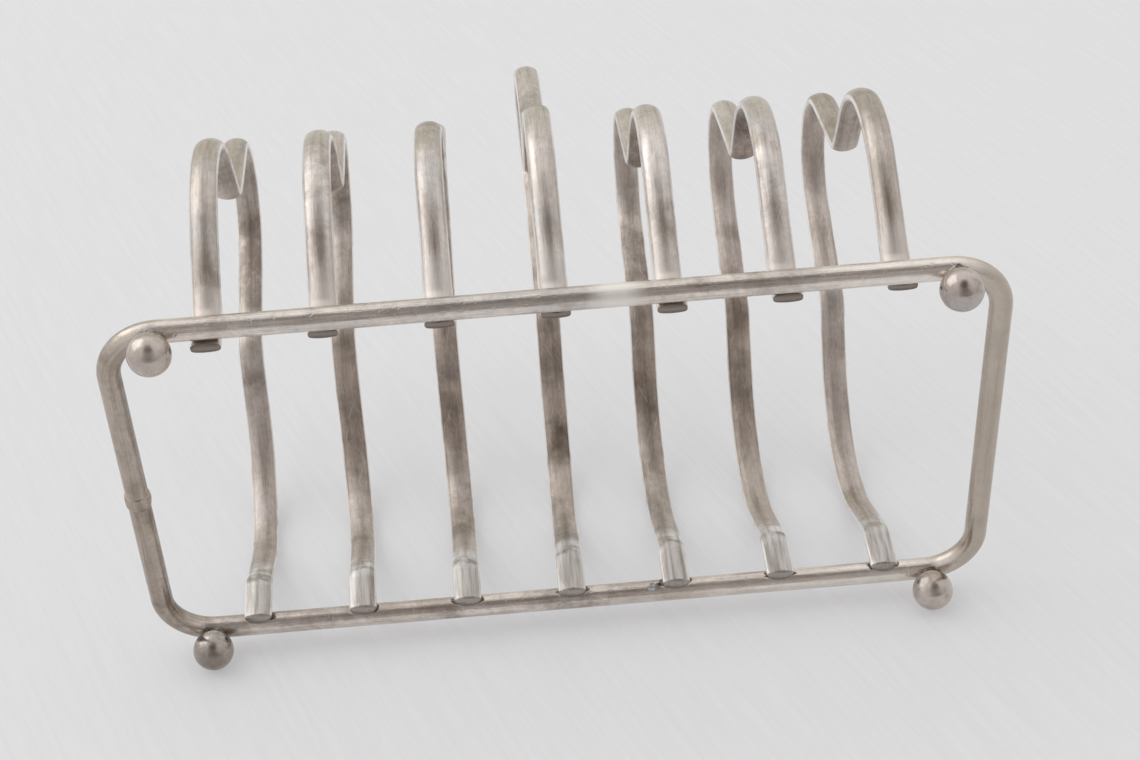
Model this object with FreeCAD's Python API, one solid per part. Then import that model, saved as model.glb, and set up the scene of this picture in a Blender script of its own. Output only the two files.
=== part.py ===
"""Six-slice toast rack: a bent wire base ring on four ball feet, seven bent hoops soldered inside it.

Frame: +X along the rack's length, +Y across it, +Z up. The origin is under the middle of the rack,
on the surface that the ball feet stand on. Millimetres.
"""
import FreeCAD, Part
import math
import os

Vec = FreeCAD.Vector

# Base ring: round wire bent to a rounded rectangle, its two ends brazed on the -X side.
RING_LENGTH = 160.0         # outside to outside
RING_WIDTH = 80.8           # outside to outside
RING_WIRE_D = 4.2
RING_CORNER_R = 9.6         # to the middle of the wire
BRAZE_GAP = 0.4             # film of braze between the wire's ends
BRAZE_D = 4.8               # slight swelling round the joint
BRAZE_LENGTH = 2.4
BRAZE_CHAMFER = 0.25
BRAZE_OFFSET = 1.5          # the joint lies a little to +Y of the side's middle

# Ball feet under the long rails.
BALL_R = 3.85
BALL_SINK = 0.2             # how far the rail is let into the ball's top
BALL_FLAT_R = 0.7           # worn flat that the ball stands on
BALL_X = 69.2
BALL_COLLAR_R = 1.9
BALL_COLLAR_DEPTH = 1.5

# Hoops: flattened oval wire with two crisp edges, its rounder face outwards.
HOOP_COUNT = 7
HOOP_PITCH = 20.1
WIRE_WIDTH = 5.1
WIRE_OUTER_CROWN = 1.3      # how far the outer face bulges past the wire's edges
WIRE_EDGE = 0.7             # straight edge between the two faces
WIRE_INNER_CROWN = 0.9
FOOT_LENGTH = 8.8           # straight foot, from its square end to the joggle
FOOT_BELOW = 2.0            # foot end below the middle of the ring wire
JOGGLE_R = 3.0
JOGGLE_ANGLE = 30.0         # how far the leg leans out above the joggle
SHOULDER_R = 24.0
SHOULDER_SLOPE = 23.5       # rise of the shoulder towards the neck
NECK_Y = 21.3               # corner where the shoulder turns up into the top arch
NECK_RISE = 60.4            # above the middle of the ring wire
NECK_R = 3.5
TOP_R = 15.7
TOP_RISE = 93.9             # crown above the middle of the ring wire
HANDLE_SHOULDER_SLOPE = 15.0
HANDLE_TOP_RISE = 111.2     # crown of the middle hoop, which is the handle

# Solder where each foot meets its rail.
SOLDER_FILM = 0.15          # between the foot and the rail
PAD_LENGTH = 7.4
PAD_R = 1.6
PAD_END_R = 1.45            # rounding of the pad's two ends

RING_WIRE_R = RING_WIRE_D / 2
BALL_Z = math.sqrt(BALL_R ** 2 - BALL_FLAT_R ** 2)
RING_Z = BALL_Z + BALL_R + RING_WIRE_R - BALL_SINK
RAIL_Y = RING_WIDTH / 2 - RING_WIRE_R
SIDE_X = RING_LENGTH / 2 - RING_WIRE_R
FOOT_Y = RAIL_Y - RING_WIRE_R - SOLDER_FILM
HANDLE_INDEX = HOOP_COUNT // 2


def save(node, shape):
    """Write one sub-part to its own file."""
    assert shape.isValid() and shape.Volume > 0, node
    shape.exportStep("parts/" + node + ".step")


def rounded_path(corners):
    """Wire through (point, radius) corners, straight between them and an arc at each rounded one."""
    edges = []
    start = corners[0][0]
    for before, (corner, radius), after in zip(corners, corners[1:], corners[2:]):
        towards_start = (before[0] - corner).normalize()
        towards_end = (after[0] - corner).normalize()
        half_angle = towards_start.getAngle(towards_end) / 2
        reach = radius / math.tan(half_angle)
        bisector = (towards_start + towards_end).normalize()
        middle = corner + bisector * (radius / math.sin(half_angle) - radius)
        arc_start = corner + towards_start * reach
        arc_end = corner + towards_end * reach
        if arc_start.distanceToPoint(start) > 1e-6:
            edges.append(Part.makeLine(start, arc_start))
        edges.append(Part.Arc(arc_start, middle, arc_end).toShape())
        start = arc_end
    edges.append(Part.makeLine(start, corners[-1][0]))
    return Part.Wire(edges)


def sweep(section, path, upright):
    """Solid swept along a flat path whose plane has the given normal."""
    pipe = Part.BRepOffsetAPI.MakePipeShell(path)
    pipe.setBiNormalMode(upright)
    pipe.add(section)
    pipe.build()
    pipe.makeSolid()
    return pipe.shape()


def circular_edges(shape):
    """The rims of a plain cylinder."""
    return [edge for edge in shape.Edges if isinstance(edge.Curve, Part.Circle)]


def ring_wire():
    """The ring, from one cut end of its wire round the four corners to the other."""
    start = Vec(-SIDE_X, BRAZE_OFFSET + BRAZE_GAP / 2, RING_Z)
    end = Vec(-SIDE_X, BRAZE_OFFSET - BRAZE_GAP / 2, RING_Z)
    turns = [Vec(x, y, RING_Z) for x, y in
             ((-SIDE_X, RAIL_Y), (SIDE_X, RAIL_Y), (SIDE_X, -RAIL_Y), (-SIDE_X, -RAIL_Y))]
    path = rounded_path([(start, 0)] + [(turn, RING_CORNER_R) for turn in turns] + [(end, 0)])
    section = Part.Wire(Part.makeCircle(RING_WIRE_R, start, Vec(0, 1, 0)))
    return sweep(section, path, Vec(0, 0, 1))


def braze(ring):
    """Film of braze between the wire's two ends, with the low collar that it leaves round them."""
    start = Vec(-SIDE_X, BRAZE_OFFSET - BRAZE_LENGTH / 2, RING_Z)
    barrel = Part.makeCylinder(BRAZE_D / 2, BRAZE_LENGTH, start, Vec(0, 1, 0))
    return barrel.makeChamfer(BRAZE_CHAMFER, circular_edges(barrel)).cut(ring)


def tangent_apex(top_rise):
    """Height where the two straight flanks of the top arch would meet above the crown."""
    across = NECK_Y
    up = top_rise - TOP_R - NECK_RISE
    lean = math.atan2(across, up) - math.asin(TOP_R / math.hypot(across, up))
    return NECK_RISE + across / math.tan(lean)


def hoop_path(x, top_rise, shoulder_slope):
    """Outermost line of a hoop, from the +Y foot over the crown to the -Y foot."""
    lean = math.tan(math.radians(JOGGLE_ANGLE))
    slope = math.tan(math.radians(shoulder_slope))
    joggle_rise = FOOT_LENGTH - FOOT_BELOW
    shoulder_rise = (NECK_RISE - slope * (FOOT_Y - lean * joggle_rise - NECK_Y)) / (1 + slope * lean)
    shoulder_y = FOOT_Y + lean * (shoulder_rise - joggle_rise)
    half = [(FOOT_Y, -FOOT_BELOW, 0),
            (FOOT_Y, joggle_rise, JOGGLE_R),
            (shoulder_y, shoulder_rise, SHOULDER_R),
            (NECK_Y, NECK_RISE, NECK_R)]
    crown = [(0, tangent_apex(top_rise), TOP_R)]
    other_half = [(-y, rise, radius) for y, rise, radius in reversed(half)]
    return rounded_path([(Vec(x, y, RING_Z + rise), radius) for y, rise, radius in half + crown + other_half])


def wire_section(x):
    """Section of the hoop wire at the end of the +Y foot, its rounder face to +Y."""
    half = WIRE_WIDTH / 2

    def corner(across, inward):
        return Vec(x + across, FOOT_Y - inward, RING_Z - FOOT_BELOW)

    edge_start = WIRE_OUTER_CROWN
    edge_end = edge_start + WIRE_EDGE
    outer = Part.Arc(corner(half, edge_start), corner(0, 0), corner(-half, edge_start))
    inner = Part.Arc(corner(-half, edge_end), corner(0, edge_end + WIRE_INNER_CROWN), corner(half, edge_end))
    left = Part.makeLine(corner(-half, edge_start), corner(-half, edge_end))
    right = Part.makeLine(corner(half, edge_end), corner(half, edge_start))
    return Part.Wire([outer.toShape(), left, inner.toShape(), right])


def hoop(index):
    """One hoop; the middle one stands taller and serves as the handle."""
    x = (index - HANDLE_INDEX) * HOOP_PITCH
    is_handle = index == HANDLE_INDEX
    top_rise = HANDLE_TOP_RISE if is_handle else TOP_RISE
    slope = HANDLE_SHOULDER_SLOPE if is_handle else SHOULDER_SLOPE
    return sweep(wire_section(x), hoop_path(x, top_rise, slope), Vec(1, 0, 0))


def ball_foot(x, y, ring):
    """Ball with a worn flat underneath and a saddle where the rail sits in its top."""
    flat_angle = -math.degrees(math.asin(BALL_Z / BALL_R))
    ball = Part.makeSphere(BALL_R, Vec(x, y, BALL_Z), Vec(0, 0, 1), flat_angle, 90, 360)
    return ball.cut(ring)


def ball_collar(x, y, ring, ball):
    """Ring of solder round the saddle between a ball and its rail."""
    bottom = Vec(x, y, BALL_Z + BALL_R - BALL_COLLAR_DEPTH / 2)
    return Part.makeCylinder(BALL_COLLAR_R, BALL_COLLAR_DEPTH, bottom).cut(ring).cut(ball)


def foot_pad(x, y, ring, wire_hoop):
    """Pill-shaped pad of solder that fills round one foot where it lies against the rail."""
    start = Vec(x - PAD_LENGTH / 2, y, RING_Z)
    pill = Part.makeCylinder(PAD_R, PAD_LENGTH, start, Vec(1, 0, 0))
    pill = pill.makeFillet(PAD_END_R, circular_edges(pill))
    return pill.cut(ring).cut(wire_hoop)


def main():
    os.makedirs("parts", exist_ok=True)
    ring = ring_wire()
    save("base_ring", ring)
    save("ring_braze", braze(ring))

    collars = []
    for end_name, x in (("left", -BALL_X), ("right", BALL_X)):
        for side_name, y in (("front", -RAIL_Y), ("back", RAIL_Y)):
            ball = ball_foot(x, y, ring)
            collars.append(ball_collar(x, y, ring, ball))
            save("ball_foot_" + side_name + "_" + end_name, ball)
    save("solder_ball_feet", Part.makeCompound(collars))

    pads = {"front": [], "back": []}
    for index in range(HOOP_COUNT):
        wire_hoop = hoop(index)
        x = (index - HANDLE_INDEX) * HOOP_PITCH
        pads["front"].append(foot_pad(x, -FOOT_Y, ring, wire_hoop))
        pads["back"].append(foot_pad(x, FOOT_Y, ring, wire_hoop))
        name = "hoop_handle" if index == HANDLE_INDEX else "hoop_" + str(index + 1)
        save(name, wire_hoop)
    for side_name, blobs in pads.items():
        save("solder_feet_" + side_name, Part.makeCompound(blobs))


main()
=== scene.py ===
"""The looks of the wire toast rack: bent and soldered silver-plated wire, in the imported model's frame.

Lengths are in millimetres, apart from the surroundings at the end, which are in metres. +X runs along the
rack, +Y towards the back rail and +Z up. The rack lies back on its +Y side, so the surface that it lies on
stands behind it in this frame.
"""
import math

import bmesh
import bpy
from mathutils import Matrix, Vector, noise

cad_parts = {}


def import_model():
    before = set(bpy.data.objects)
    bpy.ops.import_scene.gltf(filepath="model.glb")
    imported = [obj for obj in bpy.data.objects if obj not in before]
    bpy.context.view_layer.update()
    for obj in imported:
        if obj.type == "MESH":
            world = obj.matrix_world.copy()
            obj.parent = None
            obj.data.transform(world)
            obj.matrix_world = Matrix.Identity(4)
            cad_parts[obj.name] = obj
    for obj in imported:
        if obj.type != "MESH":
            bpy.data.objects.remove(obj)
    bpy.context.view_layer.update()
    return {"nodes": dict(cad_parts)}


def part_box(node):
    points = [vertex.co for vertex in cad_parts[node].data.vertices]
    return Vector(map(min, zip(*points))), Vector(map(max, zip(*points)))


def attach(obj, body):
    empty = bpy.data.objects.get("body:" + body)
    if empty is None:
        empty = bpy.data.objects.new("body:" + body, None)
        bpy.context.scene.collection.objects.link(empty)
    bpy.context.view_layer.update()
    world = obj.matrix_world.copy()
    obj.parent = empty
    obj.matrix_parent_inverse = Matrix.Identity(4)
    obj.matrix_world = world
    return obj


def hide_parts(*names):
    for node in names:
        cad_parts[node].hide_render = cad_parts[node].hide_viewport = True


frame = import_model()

MM = 0.001

# Sizes that the model's boxes don't give.
RING_CORNER_R = 9.6         # to the middle of the wire
SEAM_Y = 1.5                # brazed joint in the ring's -X side
SEAM_GAP = 0.4              # between the ring wire's two ends
SEAM_LENGTH = 3.2           # of the band of braze over that gap
SEAM_SWELL = 0.32
BALL_FLAT_R = 0.7           # worn flat under each ball
WIRE_OUTER_CROWN = 1.3      # how far the hoop wire's outer face bulges past its edges
WIRE_EDGE = 0.7             # height of the worn edge between the two faces
WIRE_INNER_CROWN = 0.9
WIRE_EDGE_R = 0.2           # rounding of that edge's two corners
WIRE_THICKNESS = WIRE_OUTER_CROWN + WIRE_EDGE + WIRE_INNER_CROWN
WIRE_HALF = 2.6             # just over half the wire's width
FOOT_LENGTH = 8.8
FOOT_BELOW = 2.0            # foot end below the middle of the ring wire
JOGGLE_R = 3.0
JOGGLE_ANGLE = 30.0
SHOULDER_R = 24.0
SHOULDER_SLOPE = 23.5
NECK_Y = 21.3
NECK_RISE = 60.4
NECK_R = 3.5
TOP_R = 15.7
HANDLE_SHOULDER_SLOPE = 15.0
SOLDER_FILM = 0.15          # between a foot and its rail

HOOPS = ("hoop_1", "hoop_2", "hoop_3", "hoop_handle", "hoop_5", "hoop_6", "hoop_7")

# Hand work. The leans and the trims go from the hoop at the -X end to the one at the +X end.
HOOP_LEANS = (-0.9, -2.0, -1.0, 0.3, -0.6, -0.7, -1.0)      # of the back leg along X, at the neck's height
FRONT_FOOT_TRIMS = (0.2, 1.5, 1.6, 1.8, 0.7, 1.1, 1.8)      # how much shorter than the back foot
HOOP_WOBBLE = 0.35          # most that a hoop strays along X besides its lean
PRESSED_SPREAD = 0.03       # how much wider a pressed foot is, as a share of the wire's width
PRESSED_OUTER = 0.12        # how much lower its outer face's crown is, as a share of that crown
PRESSED_INNER = 0.2         # the same for its inner face
PRESS_FADE = 1.5            # pressing fades out from this far below the joggle to this far above it
HAMMERED_SPREAD = 0.035     # how much wider still the front feet are, which are hammered as well
HAMMERED_CROWNS = 0.45      # how much lower still both their crowns are
HAMMERED_EDGE = 0.4         # how much higher the edge between those crowns is, as a share of it
HAMMERED_REACH = (1.5, 6.0)     # from the front end: hammering is full up to the first, gone at the second
WIDTH_UNEVENNESS = 0.012    # of both kinds of wire
END_TAPER = 0.04            # how much narrower a foot's very end is, as a share of the width
BEAD_SPREAD = 0.02          # of the solder bead at the joggle, as a share of the wire's width
BEAD_SWELL = 0.14           # of the same bead, on the wire's inner face
BEAD_REACH = 0.6
BEAD_RISE = 0.7             # of that bead above the joggle
SPILL_HOOP = "hoop_5"       # whose back foot's solder has run along the rail
SPILL_OFFSET = Vector((-4.3, 0.5, -0.5))
SPILL_RADII = (1.3, 0.8, 0.8)
BALL_DENTS = 0.03
BALL_BEAD_RADII = (2.3, 2.1, 0.95)
BALL_BEAD_RISE = 0.15       # of the bead's middle above the rail's underside
FRONT_BEAD_RADII = (2.3, 0.7, 0.6)
BACK_BEAD_RADII = (2.85, 0.8, 1.2)
BEAD_OUTWARDS = 0.1         # from the foot's outer face to the bead's middle, towards the rail
MARKS_STEP = 370.0          # shift of the wear marks from one hoop to the next

# Fineness of the meshes.
PATH_STEP = 1.0             # along the straight runs
RING_SIDES = 40             # points round the ring wire and its seam
FACE_STEPS = 14             # steps across each face of the hoop wire
SEAM_STEPS = 16
CAP_SCALE = 0.93            # of a wire's cut end, inside its bevelled rim


def box_mm(node):
    """Lowest and highest corner of a node, in millimetres."""
    low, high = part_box(node)
    return Vector(low) / MM, Vector(high) / MM


RING_LOW, RING_HIGH = box_mm("base_ring")
RING_R = (RING_HIGH.z - RING_LOW.z) / 2
RING_Z = (RING_HIGH.z + RING_LOW.z) / 2
RAIL_Y = RING_HIGH.y - RING_R
SIDE_X = RING_HIGH.x - RING_R
FOOT_Y = RAIL_Y - RING_R - SOLDER_FILM
RAIL_HIGHLIGHT_PLACE = Vector((10.5, -RAIL_Y, RING_Z))      # painted highlight patch, on the front rail
BALLS = [name for name in sorted(frame["nodes"]) if name.startswith("ball_foot")]


# ---------------------------------------------------------------- paths and sweeps

def bent_line(corners):
    """Points along straight runs joined by arcs. Each corner is (point, radius)."""
    points = [corners[0][0]]

    def straight_to(end):
        start = points[-1]
        count = max(1, round((end - start).length / PATH_STEP))
        points.extend(start.lerp(end, i / count) for i in range(1, count + 1))

    for (before, _), (corner, radius), (after, _) in zip(corners, corners[1:], corners[2:]):
        back = (before - corner).normalized()
        ahead = (after - corner).normalized()
        half_angle = back.angle(ahead) / 2
        centre = corner + (back + ahead).normalized() * (radius / math.sin(half_angle))
        arc_start = corner + back * (radius / math.tan(half_angle))
        straight_to(arc_start)
        turn = math.pi - 2 * half_angle
        spoke = arc_start - centre
        axis = spoke.cross(back * -1).normalized()
        count = max(4, round(turn * radius / PATH_STEP * 1.5))
        turned = (Matrix.Rotation(turn * i / count, 3, axis) @ spoke for i in range(1, count + 1))
        points.extend(centre + offset for offset in turned)
    straight_to(corners[-1][0])
    return points


def distances(points):
    """How far along the line each point lies."""
    along = [0.0]
    for a, b in zip(points, points[1:]):
        along.append(along[-1] + (b - a).length)
    return along


def smooth(low, high, value):
    """0 below low, 1 above high, and a smooth rise between."""
    t = min(1.0, max(0.0, (value - low) / (high - low)))
    return t * t * (3 - 2 * t)


def on_circle(radius, turn):
    """The two coordinates of a point on a circle."""
    return radius * math.cos(turn), radius * math.sin(turn)


def new_object(name, mesh_data, material):
    """Object from a finished bmesh, with its material."""
    mesh = bpy.data.meshes.new(name)
    mesh_data.normal_update()
    mesh_data.to_mesh(mesh)
    mesh_data.free()
    for polygon in mesh.polygons:
        polygon.use_smooth = True
    mesh.materials.append(material)
    piece = bpy.data.objects.new(name, mesh)
    bpy.context.scene.collection.objects.link(piece)
    return piece


def sweep(name, points, side, section_at, material, cap_bevel=0.25, marks_start=0.0):
    """Wire along a flat line of points.

    section_at(distance, length) gives the section's (across, out) points there: across is measured along
    side, out along the line's own normal. Each vertex keeps its (distance, across, out) as the attribute
    "wire", where the distance starts at marks_start, and its distance from the nearer end as "to_end".
    """
    along = distances(points)
    length = along[-1]
    bm = bmesh.new()
    wire = bm.verts.layers.float_vector.new("wire")
    to_end = bm.verts.layers.float.new("to_end")
    stations = []
    for i, point in enumerate(points):
        ahead = points[min(i + 1, len(points) - 1)]
        behind = points[max(i - 1, 0)]
        stations.append((point, (ahead - behind).normalized(), along[i], 1.0))
    start, start_tangent, _, _ = stations[0]
    end, end_tangent, _, _ = stations[-1]
    stations[0] = (start + start_tangent * cap_bevel, start_tangent, 0.0, 1.0)
    stations[-1] = (end - end_tangent * cap_bevel, end_tangent, length, 1.0)
    stations.insert(0, (start, start_tangent, 0.0, CAP_SCALE))
    stations.append((end, end_tangent, length, CAP_SCALE))

    rings = []
    for point, tangent, distance, scale in stations:
        out = tangent.cross(side).normalized()
        section = section_at(distance, length)
        middle_across = sum(p[0] for p in section) / len(section)
        middle_out = sum(p[1] for p in section) / len(section)
        ring = []
        for across, outwards in section:
            a = middle_across + (across - middle_across) * scale
            o = middle_out + (outwards - middle_out) * scale
            vert = bm.verts.new((point + side * a + out * o) * MM)
            vert[wire] = (marks_start + distance, across, outwards)
            vert[to_end] = min(distance, length - distance)
            ring.append(vert)
        rings.append(ring)
    for ring, following in zip(rings, rings[1:]):
        for i, vert in enumerate(ring):
            j = (i + 1) % len(ring)
            bm.faces.new((vert, ring[j], following[j], following[i]))
    bm.faces.new(list(reversed(rings[0])))
    bm.faces.new(rings[-1])
    bmesh.ops.recalc_face_normals(bm, faces=bm.faces)
    return new_object(name, bm, material)


def bulge(half, crown, count):
    """Points from +half to -half that rise by crown, on a curve halfway between an arc and an ellipse."""
    radius = (half ** 2 + crown ** 2) / (2 * crown)
    reach = math.asin(half / radius)
    points = []
    for i in range(count + 1):
        turn = reach * (1 - 2 * i / count)
        across = radius * math.sin(turn)
        arc_rise = radius * math.cos(turn) - (radius - crown)
        ellipse_rise = crown * math.sqrt(max(0.0, 1 - (across / half) ** 2))
        points.append((across, (arc_rise + ellipse_rise) / 2))
    return points


def wire_section(width, pressed, hammered, swell):
    """Section of the hoop wire: its outermost line is at out = 0, its inner face below.

    Pressed feet are flatter, hammered ones flatter still, and the inner face swells by the given height
    where solder has run over it.
    """
    half = width / 2
    outer_crown = WIRE_OUTER_CROWN * (1 - PRESSED_OUTER * pressed - HAMMERED_CROWNS * hammered)
    inner_crown = WIRE_INNER_CROWN * (1 - PRESSED_INNER * pressed - HAMMERED_CROWNS * hammered) + swell
    top = -outer_crown
    bottom = top - WIRE_EDGE * (1 + HAMMERED_EDGE * hammered)
    inset = WIRE_EDGE_R
    face_half = half - inset * 0.55
    points = [(across, top + rise) for across, rise in bulge(face_half, outer_crown, FACE_STEPS)]
    points += [(-half, top - inset), (-half, bottom + inset)]
    points += [(-across, bottom - rise) for across, rise in bulge(face_half, inner_crown, FACE_STEPS)]
    points += [(half, bottom + inset), (half, top - inset)]
    return points


# ---------------------------------------------------------------- materials

class NodeKit:
    """Short ways to add and join nodes in one tree."""

    def __init__(self, tree):
        self.tree = tree

    def add(self, kind, **values):
        """Node with its settings, or with its inputs' values where it has no such setting."""
        node = self.tree.nodes.new(kind)
        for key, value in values.items():
            if hasattr(node, key):
                setattr(node, key, value)
            else:
                node.inputs[key].default_value = value
        return node

    def feed(self, value, socket):
        """Joins an output to an input, or gives the input a number or a colour."""
        if isinstance(value, tuple):
            socket.default_value = (*value, 1.0)
        elif isinstance(value, (int, float)):
            socket.default_value = value
        else:
            self.tree.links.new(value, socket)

    def ramp(self, source, *stops):
        """Greys or colours along a value: each stop is (position, grey or colour), in rising order."""
        node = self.add("ShaderNodeValToRGB")
        elements = node.color_ramp.elements
        elements.remove(elements[1])
        elements[0].position = stops[0][0]
        for position, _ in stops[1:]:
            elements.new(position)
        for element, (_, colour) in zip(elements, stops):
            if isinstance(colour, tuple):
                element.color = (*colour, 1.0)
            else:
                element.color = (colour, colour, colour, 1.0)
        self.feed(source, node.inputs["Fac"])
        return node.outputs["Color"]

    def ramp_over(self, span, source, *stops):
        """Like ramp, along a value from 0 to span, with the stops' positions in the value's own unit."""
        shares = [(position / span, colour) for position, colour in stops]
        return self.ramp(self.math("DIVIDE", source, span), *shares)

    def noise(self, vector, scale, detail=4.0, roughness=0.55, stretch=(1.0, 1.0, 1.0), shift=0.0):
        """Noise value in a stretched and shifted space."""
        mapping = self.add("ShaderNodeMapping", Scale=stretch, Location=(shift, shift, shift))
        self.feed(vector, mapping.inputs["Vector"])
        node = self.add("ShaderNodeTexNoise", Scale=scale, Detail=detail, Roughness=roughness)
        self.feed(mapping.outputs["Vector"], node.inputs["Vector"])
        return node.outputs["Fac"]

    def math(self, operation, a, b=0.0):
        """Arithmetic on outputs or numbers."""
        node = self.add("ShaderNodeMath", operation=operation)
        self.feed(a, node.inputs[0])
        self.feed(b, node.inputs[1])
        return node.outputs["Value"]

    def product(self, first, *others):
        """Outputs or numbers multiplied together."""
        for other in others:
            first = self.math("MULTIPLY", first, other)
        return first

    def total(self, first, *others):
        """Outputs or numbers added together."""
        for other in others:
            first = self.math("ADD", first, other)
        return first

    def axis(self, vector, name):
        """One component of a vector."""
        parts = self.add("ShaderNodeSeparateXYZ")
        self.feed(vector, parts.inputs["Vector"])
        return parts.outputs[name]

    def mix(self, factor, a, b, blend="MIX"):
        """Mix of two colours."""
        node = self.add("ShaderNodeMix", data_type="RGBA", blend_type=blend)
        self.feed(factor, node.inputs[0])
        self.feed(a, node.inputs[6])
        self.feed(b, node.inputs[7])
        return node.outputs[2]

    def near(self, place, point, inner, outer):
        """1 within inner millimetres of a point, falling to 0 at outer millimetres."""
        gap = self.add("ShaderNodeVectorMath", operation="DISTANCE")
        gap.inputs[1].default_value = point * MM
        self.feed(place, gap.inputs[0])
        return self.ramp_over(outer * MM, gap.outputs["Value"], (inner * MM, 1.0), (outer * MM, 0.0))

    def shade(self, factor, tone, colour):
        """Tone multiplied by a colour, as far as the factor says."""
        return self.mix(factor, tone, self.mix(1.0, tone, colour, "MULTIPLY"))

    def bump(self, height, strength, depth):
        """Normal that follows a height over a depth in millimetres."""
        node = self.add("ShaderNodeBump", Strength=strength, Distance=depth * MM)
        self.feed(height, node.inputs["Height"])
        return node.outputs["Normal"]


def metal(name):
    material = bpy.data.materials.new(name)
    material.use_nodes = True
    shader = material.node_tree.nodes["Principled BSDF"]
    shader.inputs["Metallic"].default_value = 1.0
    return material, NodeKit(material.node_tree), shader


# Base colours of the metals.
HOOP_LIGHT = (0.76, 0.70, 0.655)
HOOP_DARK = (0.57, 0.505, 0.46)
RING_LIGHT = (0.87, 0.80, 0.745)
RING_DARK = (0.62, 0.55, 0.50)
BALL_LIGHT = (0.68, 0.61, 0.56)
BALL_DARK = (0.42, 0.35, 0.31)
TARNISH = (0.24, 0.19, 0.15)
BALL_TARNISH = (0.15, 0.11, 0.085)
WARM_TINT = (0.50, 0.435, 0.34)
GREY_TINT = (0.52, 0.515, 0.52)
BRIGHT_RAIL = (0.95, 0.89, 0.82)            # mixed in towards the ring's +X end
# pale tone of the painted highlight patch on the front rail
RAIL_HIGHLIGHT_TONE = (0.88, 0.84, 0.80)
# near-white edges: wear, and painted highlight
EDGE_WEAR_AND_HIGHLIGHT = (0.95, 0.93, 0.90)
SCRATCH = (0.92, 0.87, 0.83)
FRONT_FOOT = (0.66, 0.60, 0.56)
FRONT_CUT_END = (0.29, 0.245, 0.215)
CREASE = (0.20, 0.17, 0.14)
PAINTED_REFLECTION_TONE = (0.54, 0.49, 0.45)          # painted dark reflection spot; multiplies the tone below it

FOOT_SPAN = 25.0        # stretch from a hoop's end along which the tones of its foot are placed
LEG_SPAN = 100.0        # stretch from a hoop's end up to the flank of its top arch
ROUGHNESS_VARIES = 0.24
WIRE_BUMP = (0.3, 0.2)  # strength, and depth of the marks


def worn_plate(kit, place, marks, light, dark, tarnish, amount):
    """Tone of worn silver plate: light and dark marks, warm and grey tints, fine speckle and tarnish."""
    tone = kit.ramp(marks, (0.34, dark), (0.54, light))
    warm = kit.ramp(kit.noise(place, 58.0, 3.0, shift=2.0), (0.48, 0.0), (0.66, 0.32))
    tone = kit.mix(warm, tone, WARM_TINT)
    grey = kit.ramp(kit.noise(place, 90.0, 4.0, shift=5.0), (0.50, 0.0), (0.66, 0.45))
    tone = kit.mix(grey, tone, GREY_TINT)
    speckle = kit.ramp(kit.noise(place, 900.0, 4.0, 0.7), (0.36, 0.70), (0.56, 1.0))
    tone = kit.mix(0.4, tone, speckle, "MULTIPLY")
    patches = kit.ramp(kit.noise(place, 120.0, 6.0, 0.68), (0.45, 0.0), (0.62, 1.0))
    clouds = kit.ramp(kit.noise(place, 36.0, 3.0, shift=9.0), (0.40, 0.15), (0.60, 1.0))
    cleaner_end = kit.ramp(kit.axis(place, "X"), (0.04, 1.0), (0.075, 0.45))
    return kit.mix(kit.product(patches, clouds, cleaner_end, amount), tone, tarnish)


def uneven_roughness(kit, place, *others):
    """Roughness that varies with the plate's patches, plus the given outputs and numbers."""
    varied = kit.product(kit.noise(place, 120.0, 6.0, 0.68), ROUGHNESS_VARIES)
    return kit.total(varied, *others)


def scratches(kit, wire, turn):
    """Sparse thin lines that cross a wire at an angle."""
    turned = kit.add("ShaderNodeMapping", Rotation=(0, 0, turn))
    kit.feed(wire, turned.inputs["Vector"])
    lines = kit.noise(turned.outputs["Vector"], 1.0, 1.0, 0.5, (0.14, 6.0, 0.5), turn * 10)
    return kit.ramp(lines, (0.69, 0.0), (0.73, 1.0))


class HoopPlaces:
    """Where a point of a hoop lies, and the marks there, as outputs that its tones share."""

    def __init__(self, kit):
        self.place = kit.add("ShaderNodeTexCoord").outputs["Object"]
        self.wire = kit.add("ShaderNodeAttribute", attribute_name="wire").outputs["Vector"]
        self.to_end = kit.add("ShaderNodeAttribute", attribute_name="to_end").outputs["Fac"]
        self.marks = kit.noise(self.wire, 1.0, 5.0, 0.62, (0.05, 0.8, 0.8))
        self.fine = kit.noise(self.wire, 1.0, 3.0, 0.6, (0.22, 5.0, 5.0))
        self.at_back = kit.math("GREATER_THAN", kit.axis(self.place, "Y"), 0.0)
        self.at_front = kit.math("SUBTRACT", 1.0, self.at_back)
        self.from_middle_hoop = kit.math("ABSOLUTE", kit.axis(self.place, "X"))

        # across is 0 in the middle of a face and 1 at the wire's edge. inwards is 0 on the hoop's
        # outermost line and 1 on its innermost.
        self.across = kit.math("DIVIDE", kit.math("ABSOLUTE", kit.axis(self.wire, "Y")), WIRE_HALF)
        self.inwards = kit.product(kit.axis(self.wire, "Z"), -1 / WIRE_THICKNESS)
        self.outer_face = kit.ramp(self.inwards, (0.40, 1.0), (0.55, 0.0))

        back_end = kit.ramp_over(FOOT_SPAN, self.to_end, (7.5, 0.85), (9.5, 0.0))
        self.back_foot = kit.product(self.at_back, back_end)
        front_end = kit.ramp_over(FOOT_SPAN, self.to_end, (9.5, 0.6), (14.0, 0.0))
        self.front_foot = kit.product(self.at_front, front_end)
        # solder run over the back joggles; its tone there is whitened to paint in glints
        over_joggle = kit.ramp_over(FOOT_SPAN, self.to_end,
                                    (7.5, 0.0), (10.0, 1.0), (13.0, 1.0), (18.0, 0.0))
        ragged = kit.ramp(kit.noise(self.place, 210.0, 4.0, 0.6, shift=4.0), (0.38, 0.1), (0.54, 0.9))
        self.solder_and_painted_glints = kit.product(over_joggle, self.at_back, ragged)


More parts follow.
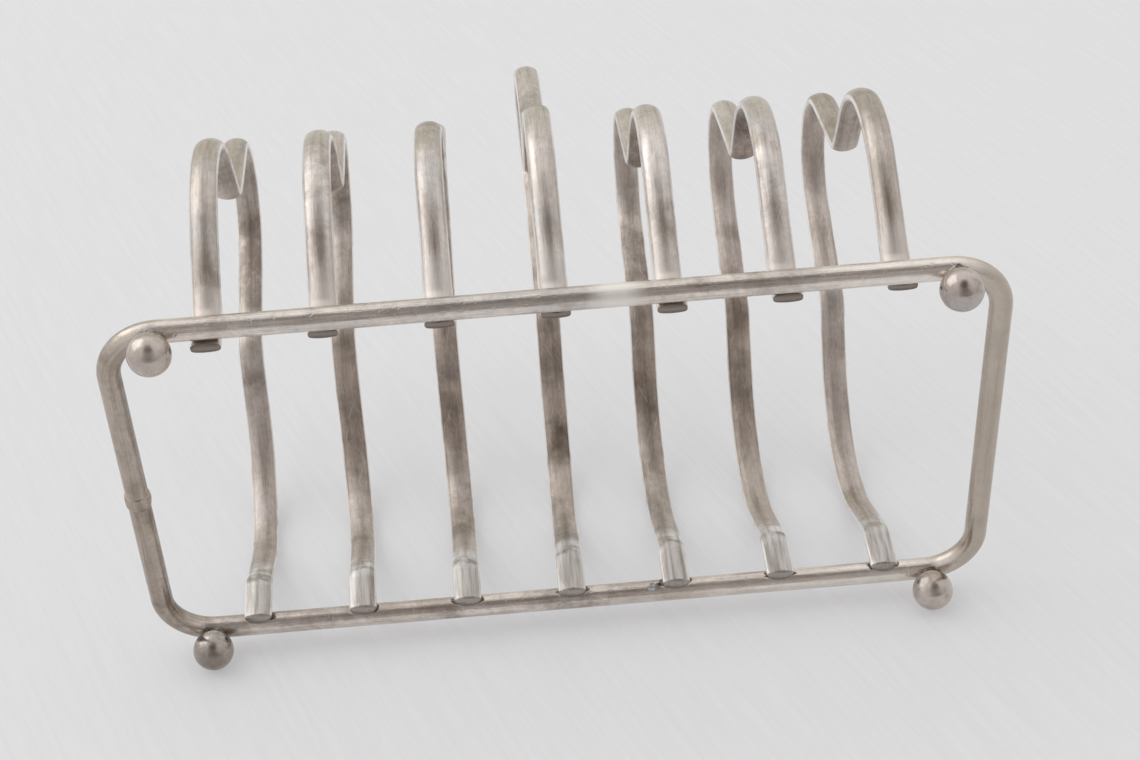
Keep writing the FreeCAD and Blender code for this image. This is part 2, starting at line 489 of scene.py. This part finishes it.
def face_tones(kit, hoop, tone):
    """Outer faces duller on the end hoops, inner faces darker, and brown above the feet of the others."""
    tone = kit.mix(1.0, tone, kit.ramp(hoop.inwards, (0.60, 1.0), (0.80, (0.84, 0.81, 0.79))), "MULTIPLY")
    duller = kit.ramp(hoop.from_middle_hoop, (0.045, 1.0), (0.058, (0.85, 0.83, 0.80)))
    tone = kit.shade(hoop.outer_face, tone, duller)
    inner_face = kit.ramp(hoop.inwards, (0.62, 0.0), (0.74, 1.0))
    above_foot = kit.ramp_over(LEG_SPAN, hoop.to_end, (36.0, 0.0), (56.0, 1.0), (82.0, 1.0), (100.0, 0.0))
    inner_hoops = kit.ramp(hoop.from_middle_hoop, (0.045, 1.0), (0.058, 0.1))
    brown = kit.ramp(kit.noise(hoop.place, 95.0, 5.0, 0.6, shift=3.0),
                     (0.40, (0.58, 0.54, 0.50)), (0.52, (0.76, 0.72, 0.68)), (0.62, (0.92, 0.86, 0.82)))
    return kit.shade(kit.product(inner_face, above_foot, inner_hoops), tone, brown)


def paint_front_leg_reflections(kit, hoop, tone):
    """Painted dark reflection: a darker spot in the middle of each front leg's outer face, a little above the
    foot.
    """
    along_leg = kit.ramp_over(FOOT_SPAN, hoop.to_end, (13.0, 0.0), (16.5, 1.0), (19.0, 1.0), (23.0, 0.0))
    middle = kit.ramp(hoop.across, (0.10, 1.0), (0.62, 0.0))
    dark_reflection_spot = kit.product(along_leg, middle, hoop.at_front, hoop.outer_face, 0.75)
    return kit.shade(dark_reflection_spot, tone, PAINTED_REFLECTION_TONE)


def soldered_feet(kit, hoop, tone):
    """Paler feet, solder that has run over the joggle at the back with glints painted into its pale tone, and
    a dark broken crease at its end.
    """
    pressed_tone = kit.ramp(hoop.marks, (0.38, (0.31, 0.28, 0.26)), (0.58, (0.61, 0.58, 0.56)))
    tone = kit.mix(hoop.back_foot, tone, pressed_tone)
    # paints dark reflection spots onto the front legs
    tone = paint_front_leg_reflections(kit, hoop, tone)
    tone = kit.mix(hoop.front_foot, tone, FRONT_FOOT)
    # solder tone, whitened to paint in glints
    solder_and_glint_tone = kit.ramp(hoop.marks, (0.36, (0.48, 0.50, 0.49)), (0.55, (0.90, 0.90, 0.90)))
    tone = kit.mix(hoop.solder_and_painted_glints, tone, solder_and_glint_tone)
    wandering = kit.total(hoop.to_end, kit.product(kit.noise(hoop.place, 330.0, 3.0, shift=8.0), 4.0))
    line = kit.ramp_over(FOOT_SPAN, wandering, (10.375, 0.0), (11.0, 0.7), (11.625, 0.0))
    broken = kit.ramp(kit.noise(hoop.place, 260.0, 2.0, shift=6.0), (0.45, 0.0), (0.55, 1.0))
    return kit.mix(kit.product(line, hoop.at_back, broken), tone, CREASE)


def worn_and_highlit_edges(kit, hoop, tone):
    """Bright edges, worn by rubbing and painted as highlights, and thin scratches."""
    # both edges: real wear, and a painted highlight
    edge = kit.ramp(hoop.across, (0.86, 0.0), (0.93, 0.85))
    worn = kit.ramp(kit.noise(hoop.place, 180.0, 3.0, shift=7.0), (0.30, 0.35), (0.5, 1.0))
    tone = kit.mix(kit.product(edge, worn), tone, EDGE_WEAR_AND_HIGHLIGHT)
    scored = kit.total(scratches(kit, hoop.wire, 0.42), scratches(kit, hoop.wire, -0.30))
    return kit.mix(kit.product(scored, 0.3), tone, SCRATCH)


def cut_ends(kit, hoop, tone):
    """Dull cut ends, darker at the front."""
    sawn = kit.ramp(hoop.fine, (0.4, (0.30, 0.26, 0.23)), (0.6, (0.48, 0.44, 0.41)))
    end_tone = kit.mix(hoop.at_back, FRONT_CUT_END, sawn)
    return kit.mix(kit.ramp(hoop.to_end, (0.03, 1.0), (0.12, 0.0)), tone, end_tone)


def oval_wire_silver():
    """Hoop wire: streaked and tarnished plate, pale soldered feet with painted glints, dull cut ends, bright
    edges worn by rubbing and painted as highlights.
    """
    material, kit, shader = metal("silver_oval_worn")
    hoop = HoopPlaces(kit)
    tone = worn_plate(kit, hoop.place, hoop.marks, HOOP_LIGHT, HOOP_DARK, TARNISH, 0.62)
    tone = kit.mix(0.3, tone, kit.ramp(hoop.fine, (0.36, 0.5), (0.60, 1.0)), "MULTIPLY")
    for change in (face_tones, soldered_feet, worn_and_highlit_edges, cut_ends):
        tone = change(kit, hoop, tone)
    kit.feed(tone, shader.inputs["Base Color"])

    rough = uneven_roughness(kit, hoop.place,
                             kit.product(hoop.solder_and_painted_glints, -0.06),
                             kit.product(hoop.front_foot, 0.12),
                             kit.product(hoop.back_foot, -0.09),
                             kit.ramp(hoop.inwards, (0.60, 0.0), (0.75, 0.07)),
                             0.25)
    kit.feed(rough, shader.inputs["Roughness"])
    height = kit.product(kit.total(hoop.fine, hoop.marks), 0.5)
    kit.feed(kit.bump(height, *WIRE_BUMP), shader.inputs["Normal"])
    return material


def round_wire_silver():
    """Ring wire: brown drawing lines along it, pits, tarnish, and one pale matt patch on the front rail that
    paints in a highlight.
    """
    material, kit, shader = metal("silver_round_worn")
    place = kit.add("ShaderNodeTexCoord").outputs["Object"]
    wire = kit.add("ShaderNodeAttribute", attribute_name="wire").outputs["Vector"]
    along_rack = kit.axis(place, "X")
    marks = kit.noise(wire, 1.0, 5.0, 0.62, (0.035, 0.8, 0.8))
    fine = kit.noise(wire, 1.0, 3.0, 0.6, (0.16, 5.0, 5.0))
    tone = worn_plate(kit, place, marks, RING_LIGHT, RING_DARK, TARNISH, 0.6)
    drawing_lines = kit.ramp(fine, (0.38, (0.56, 0.49, 0.44)), (0.56, 1.0))
    tone = kit.mix(0.3, tone, drawing_lines, "MULTIPLY")
    tone = kit.mix(kit.ramp(along_rack, (0.02, 0.0), (0.06, 0.5)), tone, BRIGHT_RAIL)
    short_sides = kit.ramp(kit.math("ABSOLUTE", along_rack), (0.068, 1.0), (0.076, (0.61, 0.575, 0.53)))
    tone = kit.mix(1.0, tone, short_sides, "MULTIPLY")
    # painted highlight: pale, rougher patch on the front rail
    painted_rail_highlight = kit.near(place, RAIL_HIGHLIGHT_PLACE, 2.5, 6.0)
    tone = kit.mix(painted_rail_highlight, tone, RAIL_HIGHLIGHT_TONE)
    kit.feed(tone, shader.inputs["Base Color"])

    rough = uneven_roughness(kit, place, kit.product(painted_rail_highlight, 0.35), 0.11)
    kit.feed(rough, shader.inputs["Roughness"])
    pits = kit.ramp(kit.noise(place, 900.0, 3.0, 0.6), (0.30, 0.0), (0.42, 1.0))
    height = kit.product(kit.total(fine, pits), 0.5)
    kit.feed(kit.bump(height, *WIRE_BUMP), shader.inputs["Normal"])
    return material


def ball_silver():
    """Ball feet: smoother plate with dark tarnish clouds and small dents."""
    material, kit, shader = metal("silver_ball_polished")
    place = kit.add("ShaderNodeTexCoord").outputs["Object"]
    marks = kit.noise(place, 240.0, 5.0, 0.6)
    tone = worn_plate(kit, place, marks, BALL_LIGHT, BALL_DARK, BALL_TARNISH, 0.7)
    kit.feed(tone, shader.inputs["Base Color"])
    kit.feed(kit.ramp(marks, (0.35, 0.15), (0.65, 0.30)), shader.inputs["Roughness"])
    kit.feed(kit.bump(kit.noise(place, 500.0, 4.0, 0.6), 0.25, 0.2), shader.inputs["Normal"])
    return material


def solder_material():
    """Dull grey solder, lumpy, bluish in places, with brown tarnish round it."""
    material, kit, shader = metal("solder_grey")
    place = kit.add("ShaderNodeTexCoord").outputs["Object"]
    lumps = kit.noise(place, 420.0, 5.0, 0.6)
    stains = kit.noise(place, 160.0, 4.0, 0.6)
    tone = kit.ramp(stains,
                    (0.40, (0.10, 0.08, 0.06)), (0.54, (0.30, 0.27, 0.24)), (0.68, (0.56, 0.56, 0.57)))
    kit.feed(tone, shader.inputs["Base Color"])
    kit.feed(kit.ramp(lumps, (0.3, 0.34), (0.7, 0.6)), shader.inputs["Roughness"])
    kit.feed(kit.bump(lumps, 0.5, 0.3), shader.inputs["Normal"])
    return material


WIRE_SILVER = oval_wire_silver()
RING_SILVER = round_wire_silver()
BALL_SILVER = ball_silver()
SOLDER = solder_material()


# ---------------------------------------------------------------- pieces

def finish_piece(piece, slot, *nodes):
    """A piece of the rigid rack that stands for CAD nodes."""
    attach(piece, "root")
    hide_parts(*nodes)


def tangent_apex(top_rise):
    """Height where the straight flanks of the top arch would meet above the crown."""
    up = top_rise - TOP_R - NECK_RISE
    lean = math.atan2(NECK_Y, up) - math.asin(TOP_R / math.hypot(NECK_Y, up))
    return NECK_RISE + NECK_Y / math.tan(lean)


def hoop_points(x, top_rise, slope_degrees, front_trim):
    """Outermost line of a hoop from the +Y foot over the crown to the -Y foot, which is cut shorter."""
    lean = math.tan(math.radians(JOGGLE_ANGLE))
    slope = math.tan(math.radians(slope_degrees))
    joggle_rise = FOOT_LENGTH - FOOT_BELOW
    shoulder_rise = (NECK_RISE - slope * (FOOT_Y - lean * joggle_rise - NECK_Y)) / (1 + slope * lean)
    shoulder_y = FOOT_Y + lean * (shoulder_rise - joggle_rise)
    half = [(FOOT_Y, -FOOT_BELOW, 0),
            (FOOT_Y, joggle_rise, JOGGLE_R),
            (shoulder_y, shoulder_rise, SHOULDER_R),
            (NECK_Y, NECK_RISE, NECK_R)]
    crown = [(0, tangent_apex(top_rise), TOP_R)]
    other_half = [(-y, rise, radius) for y, rise, radius in reversed(half)]
    other_half[-1] = (-FOOT_Y, front_trim - FOOT_BELOW, 0)
    corners = half + crown + other_half
    return bent_line([(Vector((x, y, RING_Z + rise)), radius) for y, rise, radius in corners])


def hoop(index, node):
    """One hand-bent hoop, a little out of true, with pressed feet and a hammered front foot."""
    low, high = box_mm(node)
    width = high.x - low.x
    slope = HANDLE_SHOULDER_SLOPE if node == "hoop_handle" else SHOULDER_SLOPE
    points = hoop_points((low.x + high.x) / 2, high.z - RING_Z, slope, FRONT_FOOT_TRIMS[index])
    for point in points:
        up = smooth(0, NECK_RISE, point.z - RING_Z)
        back = smooth(-FOOT_Y, FOOT_Y, point.y)
        wobble = noise.noise(Vector((index * 7.0, point.y * 0.03, point.z * 0.03))) * HOOP_WOBBLE
        point.x += up * (HOOP_LEANS[index] * back + wobble)

    def section(distance, length):
        to_end = min(distance, length - distance)
        pressed = 1 - smooth(FOOT_LENGTH - PRESS_FADE, FOOT_LENGTH + PRESS_FADE, to_end)
        uneven = noise.noise(Vector((distance * 0.09, index * 3.1, 0.0)))
        hammered = 1 - smooth(*HAMMERED_REACH, length - distance)
        rounded = 1 - smooth(0, 1.0, to_end)
        half_sign = math.copysign(1.0, length / 2 - distance)
        joint = FOOT_LENGTH + BEAD_RISE + 0.5 * noise.noise(Vector((index * 4.3, half_sign, 0.5)))
        bead = math.exp(-((to_end - joint) / BEAD_REACH) ** 2)
        spread = PRESSED_SPREAD * pressed + HAMMERED_SPREAD * hammered + WIDTH_UNEVENNESS * uneven
        spread += BEAD_SPREAD * bead - END_TAPER * rounded
        return wire_section(width * (1 + spread), pressed, hammered, BEAD_SWELL * bead)

    marks_start = index * MARKS_STEP
    piece = sweep(node + "_wire", points, Vector((1, 0, 0)), section, WIRE_SILVER, marks_start=marks_start)
    finish_piece(piece, "silver_oval", node)


def base_ring():
    """Round wire bent to a rounded rectangle, from one side of the brazed seam to the other."""
    corners = [(Vector((-SIDE_X, SEAM_Y + SEAM_GAP / 2, RING_Z)), 0)]
    for x, y in ((-SIDE_X, RAIL_Y), (SIDE_X, RAIL_Y), (SIDE_X, -RAIL_Y), (-SIDE_X, -RAIL_Y)):
        corners.append((Vector((x, y, RING_Z)), RING_CORNER_R))
    corners.append((Vector((-SIDE_X, SEAM_Y - SEAM_GAP / 2, RING_Z)), 0))

    def section(distance, _):
        uneven = noise.noise(Vector((distance * 0.05, 4.2, 0.0)))
        radius = RING_R * (1 + WIDTH_UNEVENNESS * uneven)
        return [on_circle(radius, 2 * math.pi * i / RING_SIDES) for i in range(RING_SIDES)]

    piece = sweep("base_ring_wire", bent_line(corners), Vector((0, 0, 1)), section, RING_SILVER)
    finish_piece(piece, "silver_wire", "base_ring")


def blob(bm, centre, radii, lump, seed):
    """Lumpy ellipsoid added to a bmesh."""
    made = bmesh.ops.create_icosphere(bm, subdivisions=5, radius=1.0)
    for vert in made["verts"]:
        direction = vert.co.normalized()
        swell = 1 + lump * noise.noise(direction * 1.7 + Vector((seed, 0, 0)))
        swell += 0.4 * lump * noise.noise(direction * 4.5 + Vector((0, seed, 0)))
        offset = Vector((direction.x * radii[0], direction.y * radii[1], direction.z * radii[2])) * swell
        vert.co = (centre + offset) * MM


def ball_feet():
    """Turned balls with a worn flat underneath."""
    for number, node in enumerate(BALLS):
        low, high = box_mm(node)
        radius = (high.x - low.x) / 2
        centre = (low + high) / 2
        centre.z = low.z + math.sqrt(radius ** 2 - BALL_FLAT_R ** 2)
        bm = bmesh.new()
        bmesh.ops.create_icosphere(bm, subdivisions=6, radius=radius)
        for vert in bm.verts:
            direction = vert.co.normalized()
            dent = BALL_DENTS * noise.noise(direction * 2.2 + Vector((number * 5.0, 0, 0)))
            vert.co = centre + direction * (radius + dent)
            vert.co.z = max(vert.co.z, low.z)
            vert.co *= MM
        piece = new_object(node + "_turned", bm, BALL_SILVER)
        finish_piece(piece, "silver_ball", node)


def ball_solder():
    """Solder between each ball and its rail."""
    bm = bmesh.new()
    for number, node in enumerate(BALLS):
        low, high = box_mm(node)
        centre = (low + high) / 2
        centre.z = RING_LOW.z + BALL_BEAD_RISE
        blob(bm, centre, BALL_BEAD_RADII, 0.25, number * 3.7)
    piece = new_object("solder_ball_feet_beads", bm, SOLDER)
    finish_piece(piece, "solder", "solder_ball_feet")


def foot_solder(side_name, sign, radii):
    """Lumpy solder where each foot on one side meets its rail."""
    bm = bmesh.new()
    for index, node in enumerate(HOOPS):
        low, high = box_mm(node)
        centre = Vector(((low.x + high.x) / 2, sign * (FOOT_Y + BEAD_OUTWARDS), RING_Z))
        blob(bm, centre, radii, 0.3, index * 2.3 + sign)
        if sign > 0 and node == SPILL_HOOP:
            blob(bm, centre + SPILL_OFFSET, SPILL_RADII, 0.5, 5.1)
    node = "solder_feet_" + side_name
    piece = new_object(node + "_beads", bm, SOLDER)
    finish_piece(piece, "solder", node)


def braze_seam():
    """Swollen, slightly rough band round the joint in the ring."""
    start = Vector((-SIDE_X, SEAM_Y + SEAM_LENGTH / 2, RING_Z))
    points = [start - Vector((0, SEAM_LENGTH * i / SEAM_STEPS, 0)) for i in range(SEAM_STEPS + 1)]

    def section(distance, length):
        share = distance / length
        arch = math.sin(math.pi * share)
        swell = SEAM_SWELL * arch ** 0.6
        result = []
        for i in range(RING_SIDES):
            turn = 2 * math.pi * i / RING_SIDES
            lumps = 0.16 * noise.noise(Vector((*on_circle(1.5, turn), share * 2.5)))
            radius = RING_R + 0.02 + swell * (1 + lumps) + lumps * 0.4 * arch
            result.append(on_circle(radius, turn))
        return result

    piece = sweep("ring_braze_band", points, Vector((0, 0, 1)), section, RING_SILVER, 0.05)
    finish_piece(piece, "solder", "ring_braze")


base_ring()
braze_seam()
for hoop_index, hoop_node in enumerate(HOOPS):
    hoop(hoop_index, hoop_node)
ball_feet()
ball_solder()
foot_solder("front", -1, FRONT_BEAD_RADII)
foot_solder("back", 1, BACK_BEAD_RADII)


# ---------------------------------------------------------------- surroundings, in metres

MIDDLE = Vector((0, 0, 0.055))     # of the rack
LIE_ANGLE = math.radians(8.2)      # the resting surface leans back from upright by this much
LIE_POINT = Vector((0, 0.04225, 0.0038))     # on that surface, just behind the back ball feet
LIE_UP = Vector((0, math.sin(LIE_ANGLE), math.cos(LIE_ANGLE)))
BOARD_SIZE = 2.2
BOARD_RAISED = 0.3                 # from that point up to the board's middle
BOARD_TONE = (0.462, 0.462, 0.469)
BOARD_GRAIN = 0.035                # how much darker the faint grain's lines are
BOARD_GLOW = 0.695                 # softens the shadows on the pale surfaces
GRAIN_TURN = math.radians(-22)
FLOOR_SIZE = 4.0

# The world's glow, by direction from the rack.
BRIGHT_SIDE = (-0.40, -0.62, 0.67)
OLIVE_SIDE = (0, 0.2, 1)
LOW_SIDE = (0.05, -0.50, -0.86)
DARK_SPOT_SIDE = (0.07, -1.0, -0.32)
OLIVE_GLOW = (0.62, 0.60, 0.50)
LOW_GLOW = (0.32, 0.29, 0.275)
DARK_SPOT_GLOW = (0.16, 0.14, 0.13)

WINDOW_OFFSET = Vector((-1.8, -1.6, 1.0))
WINDOW_SIZE = 2.2
WINDOW_POWER = 14.0
CAMERA_PLACE = Vector((-0.0101, -0.3045, -0.2949))
CAMERA_AZIMUTH = math.radians(2.39)
CAMERA_ELEVATION = math.radians(46.84)
CAMERA_ROLL = math.radians(-6.37)
CAMERA_LENS = 74.5                 # millimetres, for a sensor 36 wide


def one_sided(name, colour, grain):
    """Pale matt surface that can be seen only from its front, so that other views look past its back."""
    material = bpy.data.materials.new(name)
    material.use_nodes = True
    kit = NodeKit(material.node_tree)
    nodes = material.node_tree.nodes
    shader = nodes["Principled BSDF"]
    shader.inputs["Roughness"].default_value = 0.6
    place = kit.add("ShaderNodeTexCoord").outputs["Object"]
    turned = kit.add("ShaderNodeMapping", Rotation=(0, 0, GRAIN_TURN))
    kit.feed(place, turned.inputs["Vector"])
    lines = kit.noise(turned.outputs["Vector"], 1.0, 4.0, 0.6, (900.0, 40.0, 40.0))
    dark = tuple(c * (1 - grain) for c in colour)
    tone = kit.ramp(lines, (0.35, dark), (0.65, colour))
    kit.feed(tone, shader.inputs["Base Color"])
    kit.feed(tone, shader.inputs["Emission Color"])
    shader.inputs["Emission Strength"].default_value = BOARD_GLOW
    clear = kit.add("ShaderNodeBsdfTransparent")
    mix = kit.add("ShaderNodeMixShader")
    kit.feed(kit.add("ShaderNodeNewGeometry").outputs["Backfacing"], mix.inputs[0])
    kit.feed(shader.outputs[0], mix.inputs[1])
    kit.feed(clear.outputs[0], mix.inputs[2])
    kit.feed(mix.outputs[0], nodes["Material Output"].inputs["Surface"])
    return material


def placed(centre, right, up, normal):
    """Placement whose own axes point along right, up and normal."""
    return Matrix.Translation(centre) @ Matrix((right, up, normal)).transposed().to_4x4()


def stage_plane(name, centre, up, size, material):
    """Flat square that is level along X, and whose front faces along X x up."""
    right = Vector((1, 0, 0))
    half = size / 2
    mesh = bpy.data.meshes.new(name)
    corners = [(-half, -half, 0), (half, -half, 0), (half, half, 0), (-half, half, 0)]
    mesh.from_pydata(corners, [], [(0, 1, 2, 3)])
    mesh.materials.append(material)
    plane = bpy.data.objects.new(name, mesh)
    plane.matrix_world = placed(centre, right, up, right.cross(up).normalized())
    bpy.context.scene.collection.objects.link(plane)
    return plane


def area_light(name, location, target, size, power):
    """Soft white square light aimed at a point."""
    data = bpy.data.lights.new(name, "AREA")
    data.size = size
    data.energy = power
    light = bpy.data.objects.new(name, data)
    light.location = location
    light.rotation_mode = "QUATERNION"
    light.rotation_quaternion = (target - location).to_track_quat("-Z", "Y")
    bpy.context.scene.collection.objects.link(light)


def stage():
    """The pale surface that the rack lies on, and a pale floor under its feet for the upright views."""
    pale = one_sided("pale_board", BOARD_TONE, BOARD_GRAIN)
    stage_plane("lying_surface", LIE_POINT + LIE_UP * BOARD_RAISED, LIE_UP, BOARD_SIZE, pale)
    floor = stage_plane("standing_floor", Vector((0, 0, 0)), Vector((0, 1, 0)), FLOOR_SIZE, pale)
    floor.visible_shadow = False
    floor.visible_diffuse = False
    floor.visible_glossy = False


def world():
    """Pale surround, olive far above, dim on the low side, with one soft dark spot in front of the rack."""
    surround = bpy.data.worlds.new("surround")
    bpy.context.scene.world = surround
    surround.use_nodes = True
    kit = NodeKit(surround.node_tree)
    background = surround.node_tree.nodes["Background"]
    direction = kit.add("ShaderNodeTexCoord").outputs["Generated"]

    def towards(vector):
        """1 in a direction, 0.5 at right angles to it and 0 opposite."""
        dot = kit.add("ShaderNodeVectorMath", operation="DOT_PRODUCT")
        dot.inputs[1].default_value = Vector(vector).normalized()
        kit.feed(direction, dot.inputs[0])
        return kit.total(kit.product(dot.outputs["Value"], 0.5), 0.5)

    glow = kit.ramp(towards(BRIGHT_SIDE), (0.12, 0.54), (0.5, 0.80), (0.8, 0.94), (0.97, 1.0))
    olive = kit.ramp(towards(OLIVE_SIDE), (0.80, 0.0), (0.96, 0.8))
    glow = kit.mix(olive, glow, OLIVE_GLOW)
    low = kit.ramp(towards(LOW_SIDE), (0.78, 0.0), (0.92, 0.85))
    sideways = kit.math("ABSOLUTE", kit.math("SUBTRACT", kit.axis(direction, "X"), 0.08))
    low_side = kit.product(low, kit.ramp(sideways, (0.18, 1.0), (0.62, 0.0)))
    glow = kit.mix(low_side, glow, LOW_GLOW)
    dark_spot = kit.ramp(towards(DARK_SPOT_SIDE), (0.95, 0.0), (0.99, 0.82))
    kit.feed(kit.mix(dark_spot, glow, DARK_SPOT_GLOW), background.inputs["Color"])
    background.inputs["Strength"].default_value = 1.0


def camera():
    """Camera below the feet and in front, looking up at the base, with the surface behind the hoops."""
    facing = Vector((math.sin(CAMERA_AZIMUTH), math.cos(CAMERA_AZIMUTH), 0))
    level = Vector((math.cos(CAMERA_AZIMUTH), -math.sin(CAMERA_AZIMUTH), 0))
    ahead = facing * math.cos(CAMERA_ELEVATION) + Vector((0, 0, math.sin(CAMERA_ELEVATION)))
    above = level.cross(ahead)
    right = level * math.cos(CAMERA_ROLL) + above * math.sin(CAMERA_ROLL)
    up = above * math.cos(CAMERA_ROLL) - level * math.sin(CAMERA_ROLL)
    data = bpy.data.cameras.new("camera")
    data.lens = CAMERA_LENS
    data.sensor_width = 36
    data.clip_start = 0.01
    data.clip_end = 20
    view = bpy.data.objects.new("camera", data)
    view.matrix_world = placed(CAMERA_PLACE, right, up, ahead * -1)
    bpy.context.scene.collection.objects.link(view)
    bpy.context.scene.camera = view


stage()
world()
camera()
area_light("window", MIDDLE + WINDOW_OFFSET, MIDDLE, WINDOW_SIZE, WINDOW_POWER)
bpy.context.scene.view_settings.view_transform = "Standard"
